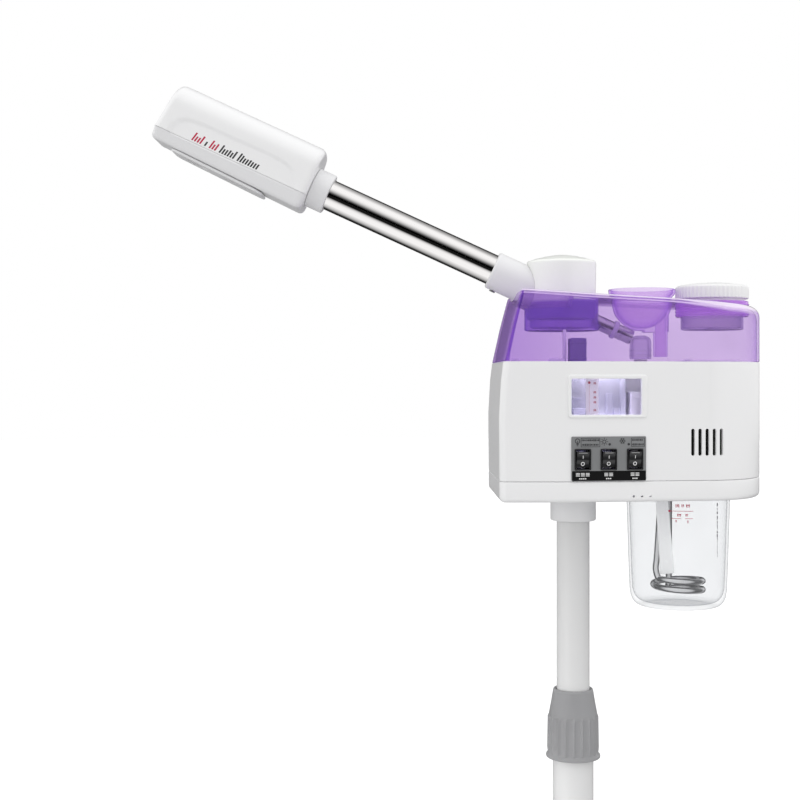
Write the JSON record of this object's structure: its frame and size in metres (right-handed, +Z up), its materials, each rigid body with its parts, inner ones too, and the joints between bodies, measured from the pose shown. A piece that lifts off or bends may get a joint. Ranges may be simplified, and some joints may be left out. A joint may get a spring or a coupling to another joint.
{
  "type": "facial steamer",
  "caption": "Hot and cold facial steamer on a wheeled telescopic stand, with a glass boiling jar, a translucent top cover and a swivelling steam arm with a nozzle head.",
  "frame": {"origin": "on the floor, at the middle of the footprint box of the whole machine at rest", "axes": "+Z up, +X to the machine's right seen from its switch side, -Y towards the switch side; the arm reaches out to -X"},
  "size_m": [0.7048, 0.536, 1.2231],
  "materials": {
    "white_shell": "satin",
    "stand_paint": "satin",
    "grey_nut": "satin",
    "nylon": "matte",
    "castor_black": "satin",
    "castor_tread": "matte",
    "lilac_cover": "clear gloss",
    "purple_clear": "clear gloss",
    "violet_thread": "clear gloss",
    "clear_window": "clear gloss",
    "jar_glass": "clear",
    "outlet_glass": "clear",
    "chrome_tube": "mirror",
    "heater_steel": "satin",
    "screw_steel": "satin",
    "panel_grey": "satin",
    "switch_black": "satin",
    "scale_white": "matte",
    "tank_plastic": "frosted",
    "deck_plastic": "satin",
    "silicone": "matte",
    "brass_disc": "satin",
    "board_green": "satin",
    "winding": "satin",
    "relay_grey": "matte"
  },
  "bodies": {
    "stand": {"star_base": "stand_paint", "lower_pole": "stand_paint", "pole_collet": "nylon"},
    "clamp": {"clamp_nut": "grey_nut"},
    "mast": {"upper_pole": "stand_paint"},
    "machine": {"pole_socket": "white_shell", "lower_tray": "white_shell", "main_casing": "white_shell", "window_frame": "white_shell", "window_pane": "clear_window", "level_scale": "scale_white", "switch_panel": "panel_grey", "switch_light_body": "switch_black", "switch_heat_body": "switch_black", "switch_mist_body": "switch_black", "inner_deck": "deck_plastic", "cold_water_tank": "tank_plastic", "mist_transducer": "brass_disc", "jar_holder": "nylon", "jar_gasket": "silicone", "heater_coil": "heater_steel", "level_probe": "nylon", "steam_hose": "silicone", "steam_pipe": "chrome_tube", "pipe_coupling": "purple_clear", "steam_outlet": "outlet_glass", "steam_well": "purple_clear", "top_cover": "lilac_cover", "fill_neck": "violet_thread", "strainer_basket": "tank_plastic", "relay_box": "relay_grey", "circuit_board": "board_green", "transformer": "winding", "fan_frame": "castor_black", "power_inlet": "switch_black"},
    "fan": {"fan_rotor": "castor_black"},
    "jar": {"glass_jar": "jar_glass"},
    "arm": {"hub_knob": "white_shell", "arm_socket": "white_shell", "socket_screw": "screw_steel", "arm_tube": "chrome_tube"},
    "head": {"head_collar": "white_shell", "head_upper_shell": "white_shell", "head_lower_shell": "white_shell", "nozzle_plate": "white_shell"},
    "bowl": {"mist_bowl": "purple_clear"},
    "cap": {"fill_cap": "white_shell"},
    "light_rocker": {"rocker_light": "switch_black"},
    "heat_rocker": {"rocker_heat": "switch_black"},
    "mist_rocker": {"rocker_mist": "switch_black"},
    "castor_1": {"castor_1_frame": "castor_black"},
    "castor_1_wheelset": {"castor_1_wheels": "castor_tread"},
    "castor_2": {"castor_2_frame": "castor_black"},
    "castor_2_wheelset": {"castor_2_wheels": "castor_tread"},
    "castor_3": {"castor_3_frame": "castor_black"},
    "castor_3_wheelset": {"castor_3_wheels": "castor_tread"},
    "castor_4": {"castor_4_frame": "castor_black"},
    "castor_4_wheelset": {"castor_4_wheels": "castor_tread"},
    "castor_5": {"castor_5_frame": "castor_black"},
    "castor_5_wheelset": {"castor_5_wheels": "castor_tread"}
  },
  "joints": [
    {"name": "height_slide", "type": "slide", "parent": "stand", "child": "mast", "axis": [0, 0, 1], "range_m": [-0.16, 0.2]},
    {"name": "clamp_turn", "type": "hinge", "parent": "stand", "child": "clamp", "pos_m": [0.07741, 0, 0.565], "axis": [0, 0, 1], "range_deg": [0, 180]},
    {"name": "machine_turn", "type": "hinge", "parent": "mast", "child": "machine", "pos_m": [0.07741, 0, 0.815], "axis": [0, 0, 1], "range_deg": [-170, 170]},
    {"name": "arm_swivel", "type": "hinge", "parent": "machine", "child": "arm", "pos_m": [0.06521, 0, 1.0025], "axis": [0, 0, 1], "range_deg": [-58, 58]},
    {"name": "head_turn", "type": "hinge", "parent": "arm", "child": "head", "pos_m": [-0.19826, 0, 1.12368], "axis": [-0.9085, 0, 0.4179], "range_deg": [-90, 90]},
    {"name": "light_switch", "type": "hinge", "parent": "machine", "child": "light_rocker", "pos_m": [0.07557, -0.08275, 0.8432], "axis": [-0.9903, -0.1386, 0], "range_deg": [0, 14]},
    {"name": "heat_switch", "type": "hinge", "parent": "machine", "child": "heat_rocker", "pos_m": [0.10147, -0.07912, 0.8432], "axis": [-0.9903, -0.1386, 0], "range_deg": [0, 14]},
    {"name": "mist_switch", "type": "hinge", "parent": "machine", "child": "mist_rocker", "pos_m": [0.12787, -0.07543, 0.8432], "axis": [-0.9903, -0.1386, 0], "range_deg": [0, 14]},
    {"name": "jar_lower", "type": "slide", "parent": "machine", "child": "jar", "axis": [0, 0, -1], "range_m": [0, 0.15]},
    {"name": "cap_lift", "type": "slide", "parent": "machine", "child": "cap", "axis": [0, 0, 1], "range_m": [0, 0.06]},
    {"name": "bowl_lift", "type": "slide", "parent": "machine", "child": "bowl", "axis": [0, 0, 1], "range_m": [0, 0.08]},
    {"name": "fan_spin", "type": "hinge", "parent": "machine", "child": "fan", "pos_m": [0.16241, 0.0735, 0.887], "axis": [0, 1, 0], "continuous": true},
    {"name": "castor_1_swivel", "type": "hinge", "parent": "stand", "child": "castor_1", "pos_m": [0.30541, 0, 0.065], "axis": [0, 0, 1], "continuous": true},
    {"name": "castor_1_roll", "type": "hinge", "parent": "castor_1", "child": "castor_1_wheelset", "pos_m": [0.32341, 0, 0.025], "axis": [0, 1, 0], "continuous": true},
    {"name": "castor_2_swivel", "type": "hinge", "parent": "stand", "child": "castor_2", "pos_m": [0.14787, 0.21684, 0.065], "axis": [0, 0, 1], "continuous": true},
    {"name": "castor_2_roll", "type": "hinge", "parent": "castor_2", "child": "castor_2_wheelset", "pos_m": [0.15343, 0.23396, 0.025], "axis": [-0.9511, 0.309, 0], "continuous": true},
    {"name": "castor_3_swivel", "type": "hinge", "parent": "stand", "child": "castor_3", "pos_m": [-0.10705, 0.13401, 0.065], "axis": [0, 0, 1], "continuous": true},
    {"name": "castor_3_roll", "type": "hinge", "parent": "castor_3", "child": "castor_3_wheelset", "pos_m": [-0.12161, 0.1446, 0.025], "axis": [-0.5878, -0.809, 0], "continuous": true},
    {"name": "castor_4_swivel", "type": "hinge", "parent": "stand", "child": "castor_4", "pos_m": [-0.10705, -0.13401, 0.065], "axis": [0, 0, 1], "continuous": true},
    {"name": "castor_4_roll", "type": "hinge", "parent": "castor_4", "child": "castor_4_wheelset", "pos_m": [-0.12161, -0.1446, 0.025], "axis": [0.5878, -0.809, 0], "continuous": true},
    {"name": "castor_5_swivel", "type": "hinge", "parent": "stand", "child": "castor_5", "pos_m": [0.14787, -0.21684, 0.065], "axis": [0, 0, 1], "continuous": true},
    {"name": "castor_5_roll", "type": "hinge", "parent": "castor_5", "child": "castor_5_wheelset", "pos_m": [0.15343, -0.23396, 0.025], "axis": [0.9511, 0.309, 0], "continuous": true}
  ]
}
